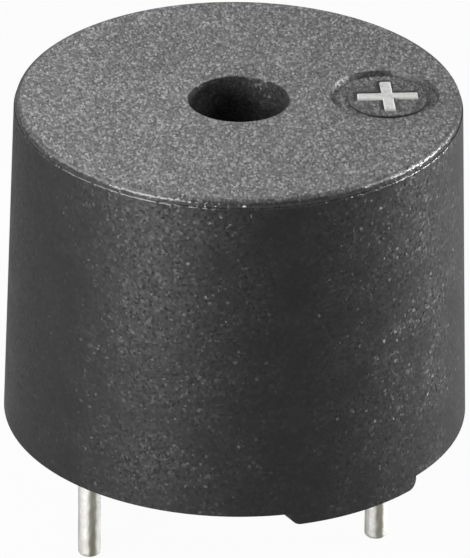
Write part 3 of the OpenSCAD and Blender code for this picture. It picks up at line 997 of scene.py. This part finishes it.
    def recess(self, first_row: Array) -> tuple[Array, Array]:
        """The mark's recess and the disc in it, each carried round its own axis, from the edge inwards.

        Args:
            first_row: Points of the top face along the recess's edge.

        Returns:
            Grid of points, and the finish of each row: more grained on level rows than on upright ones.
        """
        top, soft = self.top_level, self.soft_edge
        floor = top - self.recess_depth
        disc_top = floor + self.disc_height
        angles = np.arctan2(first_row[:, 1], first_row[:, 0] - self.mark_x)
        edge = arc((self.recess_radius + soft, top - soft), soft, 90.0, 170.0, steps=4)
        foot_radius = self.recess_radius - self.recess_lean
        foot = arc((foot_radius - soft, floor + soft), soft, -10.0, -90.0, steps=4)
        root = arc((self.disc_radius + soft, floor + soft), soft, 270.0, 180.0, steps=4)
        shoulder_centre = (self.disc_radius - self.disc_round, disc_top - self.disc_round)
        shoulder = arc(shoulder_centre, self.disc_round, 0.0, 90.0, steps=5)
        middle = np.array([[self.disc_radius * 0.5, disc_top], [0.0, disc_top]])
        wall = revolve(np.concatenate([edge, foot]), angles, (self.mark_x, 0.0))
        disc_centre = (self.mark_x + self.disc_shift, 0.0)
        disc = revolve(np.concatenate([root, shoulder, middle]), angles, disc_centre)
        fade = np.linspace(GRAINED, self.recess_finish, len(edge))
        rise = np.linspace(RUBBED, self.disc_finish, len(shoulder))
        flat = np.full(len(middle), self.disc_finish)
        finish = np.concatenate([fade, fade[::-1], fade, rise, flat])
        return np.concatenate([wall, disc]), finish

    def build(self) -> Piece:
        """Sews all surfaces of the case into one closed shell."""
        work = Patchwork()
        outer, inner = self.columns(self.rim_radius), self.columns(self.bore_radius)
        profile, finish = self.outside()
        work.add(revolve(profile, outer), closed=True, mark=finish)
        room, finish = self.inside()
        angles = np.tile(outer, (len(room), 1))
        angles[-1] = inner
        work.add(revolve(room, angles), closed=True, mark=finish)
        work.add(ruled(self.rim_path(bore=True), self.rim_path(bore=False), steps=3), closed=True)
        for foot in self.foot_angles:
            work.add(self.foot_face(foot, bore=False))
            work.add(self.foot_face(foot, bore=True))
        sound_half, mark_half = self.top_face()
        work.add(sound_half, closed=True, mark=GRAINED)
        work.add(mark_half, closed=True, mark=GRAINED)
        recess, finish = self.recess(mark_half[0])
        work.add(recess, closed=True, mark=finish)
        return work.sew("case_shell", turn=self.turn, mark="finish")

    def dress(self, piece: Piece, mark: PlusMark) -> None:
        """Finishes the shell as black moulded plastic, with a painted shadow round the plus."""
        hand_over(piece, CasePlastic().material(mark), "case_plastic", "case")


@dataclass
class PlusMark:
    """The raised plus on the disc: two bars with a flat top and rounded shoulders."""

    centre: Pair
    low: float
    high: float
    turn: float = -4.0
    bar_length: float = 1.55
    bar_width: float = 0.28
    shoulder: float = 0.04
    shoulder_lines: int = 8
    between_lines: int = 10
    core_line: float = 0.35

    def lines(self) -> Array:
        """Grid lines across the plus, close together at the ends and sides of its bars."""
        roll = np.radians(np.linspace(0.0, 90.0, self.shoulder_lines + 1))
        near = self.shoulder * (1.0 - np.cos(roll))
        half_length, half_width = self.bar_length / 2, self.bar_width / 2
        ends = half_length - near
        sides = np.concatenate([half_width - near, half_width + near])
        between = np.linspace(half_width + self.shoulder, half_length - self.shoulder, self.between_lines + 2)
        right = np.concatenate([ends, sides, between[1:-1], [half_width * self.core_line]])
        return np.unique(np.round(np.concatenate([-right, [0.0], right]), 6))

    def build(self) -> Piece:
        """Sews the plus from its top and its flat underside.

        The height over the disc is the thickness times the square root of one less the square of
        (1 - d / shoulder), where d is the distance to the outline and is capped at the shoulder.
        """
        lines = self.lines()
        x, y = np.meshgrid(lines, lines)
        half_length, half_width = self.bar_length / 2, self.bar_width / 2
        across = np.minimum(half_length - np.abs(x), half_width - np.abs(y))
        upright = np.minimum(half_width - np.abs(x), half_length - np.abs(y))
        depth = np.maximum(across, upright)
        share = np.clip(depth / self.shoulder, 0.0, 1.0)
        level = self.low + (self.high - self.low) * np.sqrt(1.0 - (1.0 - share) ** 2)
        angle = math.radians(self.turn)
        place_x = self.centre[0] + x * math.cos(angle) - y * math.sin(angle)
        place_y = self.centre[1] + x * math.sin(angle) + y * math.cos(angle)
        work = Patchwork()
        arm, core = np.abs(lines) <= half_length + MERGE_GAP, np.abs(lines) <= half_width + MERGE_GAP
        for height in (level, np.full_like(level, self.low)):
            sheet = np.stack([place_x, place_y, height], axis=-1)
            work.add(sheet[core][:, arm])
            work.add(sheet[arm & (lines >= half_width - MERGE_GAP)][:, core])
            work.add(sheet[arm & (lines <= -half_width + MERGE_GAP)][:, core])
        return work.sew("plus_mark")

    def dress(self, piece: Piece) -> None:
        """Finishes the plus in pale paint."""
        hand_over(piece, MarkPaint().material(), "mark_paint", "polarity_mark")


@dataclass
class Pin:
    """A solder-dipped pin: rounded tip, free length with an uneven coat, root in the resin and tenon."""

    node: str
    centre: Pair
    tip_level: float
    top_level: float
    root_radius: float
    seed: float
    radius: float = 0.3
    tip_round: float = 0.1
    root_level: float = 0.6
    root_top: float = 1.865
    coat: float = 0.007
    coat_waves: tuple[tuple[float, float, float], ...] = ((2.0, 1.7, 1.0), (3.0, -2.9, 2.0), (1.0, 5.3, 3.0))
    coat_gap: float = 0.1
    coat_fade: float = 0.4
    # the line at -80 degrees is a painted dark reflection; the others are dull streaks
    dull_and_reflection_lines: tuple[Pair, ...] = ((-80.0, 27.0), (35.0, 18.0), (150.0, 24.0))
    run_waves: tuple[Pair, ...] = ((3.1, 1.0), (14.3, 2.0))
    run_swing: float = 0.04
    run_steepness: float = 1.6
    columns: int = 96
    rows: int = 89

    def profile(self) -> Array:
        """Profile from the middle of the tip up to the middle of the tenon's end."""
        tip_top = self.tip_level + self.tip_round
        tip = arc((self.radius - self.tip_round, tip_top), self.tip_round, -90.0, 0.0, steps=8)
        free = np.linspace(tip_top, self.root_level, self.rows + 1)[1:]
        shank = np.column_stack([np.full_like(free, self.radius), free])
        root = np.array(
            [
                [self.root_radius, self.root_level],
                [self.root_radius, self.root_top],
                [self.radius, self.root_top],
                [self.radius, self.top_level],
                [0.0, self.top_level],
            ]
        )
        return np.concatenate([[[0.0, self.tip_level]], tip, shank, root])

    def dull_and_reflection_runs(self, angles: Array, level: Array) -> Array:
        """Dull upright streaks in the solder: the one at -80 degrees is a painted dark reflection, and the
        others are dull streaks.

        A run's line wanders by a sum of two sines of the level. Its share is 1 on the line and falls
        smoothly to 0 at its half-width, with the angle from the line wrapped to half a turn each way.

        Args:
            angles: Angles round the pin in radians, one for each column.
            level: Level of each row.

        Returns:
            Share of the run for each row and column.
        """
        share = np.zeros(np.broadcast_shapes(angles.shape, level.shape))
        wander = sum(self.run_swing * np.sin(pace * level + lag * self.seed) for pace, lag in self.run_waves)
        for place, half_width in self.dull_and_reflection_lines:
            off = np.angle(np.exp(1j * (angles - math.radians(place) - wander)))
            near = self.run_steepness * (1.0 - np.abs(off) / math.radians(half_width))
            near = np.clip(near, 0.0, 1.0)
            share = np.maximum(share, near * near * (3.0 - 2.0 * near))
        return share

    def build(self) -> Piece:
        """Carries the profile round the pin's axis.

        On the free length the radius loses a share of the coat: a half plus half the mean of the waves,
        each a sine of a whole number of turns and of the level.
        """
        profile = self.profile()
        angles = full_turn(self.columns)
        level = profile[:, 1, None]
        plain = profile[:, 0, None]
        waves = sum(
            np.sin(turns * angles + pace * level + lag * self.seed) for turns, pace, lag in self.coat_waves
        )
        below_root = np.clip((self.root_level - self.coat_gap - level) / self.coat_fade, 0.0, 1.0)
        free = below_root * np.clip(plain / self.radius, 0.0, 1.0)
        radius = plain - self.coat * free * (0.5 + waves / (2 * len(self.coat_waves)))
        work = Patchwork()
        grid = around(radius, level, angles, self.centre)
        # the run mark holds the dull streaks and the painted dark reflection
        work.add(grid, closed=True, mark=self.dull_and_reflection_runs(angles, level))
        return work.sew(f"{self.node}_dipped", mark="run")

    def dress(self, piece: Piece, material: Material) -> None:
        """Finishes the pin as tinned wire."""
        hand_over(piece, material, "tin", self.node)


@dataclass
class Meniscus:
    """Where the resin crept up the bore and the pins before it set: hollow fillets on its surface."""

    surface: float
    bore_radius: float
    pin_centres: tuple[Pair, ...]
    pin_radius: float = 0.295
    wall_climb: float = 0.13
    pin_climb: float = 0.11
    sink: float = 0.03
    wall_columns: int = 360
    pin_columns: int = 72

    def ring(self, radius: float, climb: float, outwards: float, centre: Pair, columns: int) -> Array:
        """A hollow fillet carried round an axis: a quarter circle between an upright wall and the surface.

        Args:
            radius: Radius of the upright wall.
            climb: Radius of the fillet.
            outwards: 1 if the resin lies outside the wall, as round a pin, or -1 if inside, as in the bore.
            centre: Place of the axis.
            columns: Number of grid lines round the ring.

        Returns:
            Grid of points, closed round its section too.
        """
        hollow = arc((climb, self.surface - climb), climb, 180.0, 90.0, steps=10)
        sunk = self.surface + self.sink
        back = [[climb, sunk], [0.0, sunk], [0.0, self.surface - climb]]
        section = np.concatenate([hollow, back])
        section[:, 0] = radius + outwards * section[:, 0]
        return revolve(section, full_turn(columns), centre)

    def build(self) -> Piece:
        """Sews the fillet in the bore and one round each pin."""
        work = Patchwork()
        bore = self.ring(self.bore_radius, self.wall_climb, -1.0, (0.0, 0.0), self.wall_columns)
        work.add(bore, closed=True)
        for centre in self.pin_centres:
            work.add(self.ring(self.pin_radius, self.pin_climb, 1.0, centre, self.pin_columns), closed=True)
        return work.sew("resin_meniscus")

    def dress(self, piece: Piece, material: Material) -> None:
        """Finishes the fillets as the resin."""
        hand_over(piece, material, "resin")


@dataclass
class InnerParts:
    """The solids that stay as packed, each with its finish."""

    nodes: dict[str, Piece]

    def dress(self) -> dict[str, Material]:
        """Gives each solid its material.

        Returns:
            The materials by name.
        """
        made = {}
        for finish, names in INNER_FINISHES:
            material = made[finish.name] = finish.material()
            for name in names:
                mesh = self.nodes[name].data
                mesh.materials.clear()
                mesh.materials.append(material)
                LOG.info("%s: %s", name, finish.name)
        return made


@dataclass
class PhotoCamera:
    """Camera at the photograph's place: long lens, from the front and above, a little rolled."""

    azimuth: float = -8.66
    elevation: float = 27.87
    roll: float = 0.75
    distance: float = 200.0
    focal_pixels: float = 7765.7
    target_level: float = 4.75
    target_right: float = 1.56
    target_up: float = 27.14
    sensor: float = 36.0
    clip: Pair = (0.01, 10.0)

    def build(self) -> None:
        """Places the camera, with its target right of and above the middle of the picture."""
        turn, roll = math.radians(self.azimuth), math.radians(self.roll)
        back = towards(self.azimuth, self.elevation)
        level_right = Vector((math.cos(turn), math.sin(turn), 0.0))
        level_up = back.cross(level_right)
        right = math.cos(roll) * level_right + math.sin(roll) * level_up
        up = math.cos(roll) * level_up - math.sin(roll) * level_right
        target = Vector((0.0, 0.0, self.target_level)) * MM
        per_pixel = self.distance * MM / self.focal_pixels
        aim = target - right * self.target_right * per_pixel - up * self.target_up * per_pixel
        place = target + back * self.distance * MM
        away = (place - aim).normalized()
        right = (right - away * right.dot(away)).normalized()
        up = away.cross(right)
        data = bpy.data.cameras.new("photo_camera")
        data.sensor_width = self.sensor
        data.lens = self.focal_pixels / max(PHOTO_WIDTH, PHOTO_HEIGHT) * self.sensor
        data.clip_start, data.clip_end = self.clip
        camera = bpy.data.objects.new("photo_camera", data)
        bpy.context.scene.collection.objects.link(camera)
        camera.matrix_world = Matrix.Translation(place) @ Matrix((right, up, away)).transposed().to_4x4()
        bpy.context.scene.camera = camera


@dataclass(frozen=True)
class Softbox:
    """A soft lamp that looks at the part; its azimuth is counted from the camera, to the right."""

    name: str
    azimuth: float
    elevation: float
    distance: float
    width: float
    height: float
    radiance: float

    def build(self, camera_azimuth: float, aim_level: float) -> None:
        """Places the lamp, with the camera's own azimuth and the level on the axis that it looks at."""
        back = towards(camera_azimuth + self.azimuth, self.elevation)
        data = bpy.data.lights.new(self.name, "AREA")
        data.shape = "RECTANGLE"
        data.size, data.size_y = self.width * MM, self.height * MM
        data.energy = self.radiance * math.pi * data.size * data.size_y
        lamp = bpy.data.objects.new(self.name, data)
        bpy.context.scene.collection.objects.link(lamp)
        lamp.location = Vector((0.0, 0.0, aim_level * MM)) + back * self.distance * MM
        lamp.rotation_mode = "QUATERNION"
        lamp.rotation_quaternion = (-back).to_track_quat("-Z", "Y")


@dataclass
class Studio:
    """Plain pale floor, even surroundings and soft lamps."""

    floor_level: float
    camera_azimuth: float
    aim_level: float = 4.5
    floor_half: float = 4000.0
    floor_colour: Colour = (0.32, 0.32, 0.32)
    seen_share: float = 0.96
    mirrored_share: float = 0.11
    surround: float = 0.1
    mirrored_surround: float = 0.11
    lamps: tuple[Softbox, ...] = (
        Softbox("left_lamp", -41.0, 9.0, 60.0, 30.0, 30.0, 15.5),
        Softbox("right_lamp", 101.0, 5.0, 160.0, 48.0, 30.0, 86.0),
        Softbox("edge_lamp", 98.0, 34.0, 160.0, 105.0, 35.0, 13.0),
        Softbox("top_lamp", -80.0, 46.0, 34.0, 22.0, 22.0, 6.2),
    )

    def build(self) -> None:
        """Makes the floor, the surroundings and the lamps."""
        self.floor()
        self.surroundings()
        for lamp in self.lamps:
            lamp.build(self.camera_azimuth, self.aim_level)

    def by_ray(self, graph: Graph, seen: float, mirrored: float, lit: float) -> Socket:
        """A value by the kind of ray.

        Args:
            graph: Graph of the tree that uses the value.
            seen: Value for what the camera sees straight or through glass.
            mirrored: Value for what a reflection shows.
            lit: Value for the light that falls on the part.

        Returns:
            Socket of the value.
        """
        path = graph.node("ShaderNodeLightPath")
        straight = graph.math("MAXIMUM", path.outputs["Is Camera Ray"], path.outputs["Is Transmission Ray"])
        reflected = graph.between(path.outputs["Is Glossy Ray"], lit, mirrored)
        return graph.between(straight, reflected, seen)

    def floor(self) -> None:
        """A flat floor that shows white, keeps a part of the shadow on it and is clear from below."""
        side = np.array([-1.0, 1.0]) * self.floor_half
        x, y = np.meshgrid(side, side)
        work = Patchwork()
        work.add(np.stack([x, y, np.full_like(x, self.floor_level)], axis=-1))
        floor = work.sew("floor")
        made = bpy.data.materials.new("floor_white")
        graph = Graph.empty(made)
        matt = graph.node("ShaderNodeBsdfDiffuse", Color=self.floor_colour)
        glow = graph.node("ShaderNodeEmission", Color=WHITE, Strength=1.0)
        clear = graph.node("ShaderNodeBsdfTransparent")
        share = self.by_ray(graph, self.seen_share, self.mirrored_share, 0.0)
        below = graph.node("ShaderNodeNewGeometry").outputs["Backfacing"]
        surface = graph.shaders(below, graph.shaders(share, matt, glow), clear)
        graph.node("ShaderNodeOutputMaterial", Surface=surface.outputs[0])
        floor.data.materials.append(made)

    def surroundings(self) -> None:
        """Even grey light from all round, which shows white to the camera and paler in a reflection."""
        world = bpy.data.worlds.new("surroundings")
        bpy.context.scene.world = world
        graph = Graph.empty(world)
        strength = self.by_ray(graph, 1.0, self.mirrored_surround, self.surround)
        light = graph.node("ShaderNodeBackground", Color=WHITE, Strength=strength)
        graph.node("ShaderNodeOutputWorld", Surface=light.outputs[0])


def in_millimetres(node: str) -> tuple[Vector, Vector]:
    """Lowest and highest corner of a solid, in millimetres."""
    low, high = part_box(node)
    return low / MM, high / MM


def plan_centre(node: str) -> Pair:
    """Middle of a solid's box in plan, in millimetres."""
    low, high = in_millimetres(node)
    return (low.x + high.x) / 2, (low.y + high.y) / 2


def build_pins() -> list[Pin]:
    """Builds and dresses both pins where their solids are."""
    tinned = TinnedWire().material()
    pins = []
    for node, seed in (("positive_pin", 0.4), ("negative_pin", 2.1)):
        low, high = in_millimetres(node)
        pin = Pin(node, plan_centre(node), low.z, high.z, (high.x - low.x) / 2, seed)
        pin.dress(pin.build(), tinned)
        pins.append(pin)
    return pins


def main() -> None:
    """Loads the frame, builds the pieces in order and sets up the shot."""
    logging.basicConfig(level=logging.INFO, format="%(name)s: %(message)s")
    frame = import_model()
    materials = InnerParts(frame["nodes"]).dress()
    case = Case(in_millimetres("case")[1].z)
    mark_low, mark_high = in_millimetres("polarity_mark")
    mark = PlusMark(plan_centre("polarity_mark"), mark_low.z, mark_high.z)
    case.dress(case.build(), mark)
    mark.dress(mark.build())
    pins = build_pins()
    resin_level, pin_centres = in_millimetres("sealing_resin")[0].z, tuple(pin.centre for pin in pins)
    meniscus = Meniscus(resin_level, case.bore_radius, pin_centres)
    meniscus.dress(meniscus.build(), materials[RESIN.name])
    camera = PhotoCamera()
    camera.build()
    Studio(min(pin.tip_level for pin in pins), camera.azimuth).build()
    bpy.context.scene.view_settings.view_transform = "Standard"


if __name__ == "__main__":
    main()
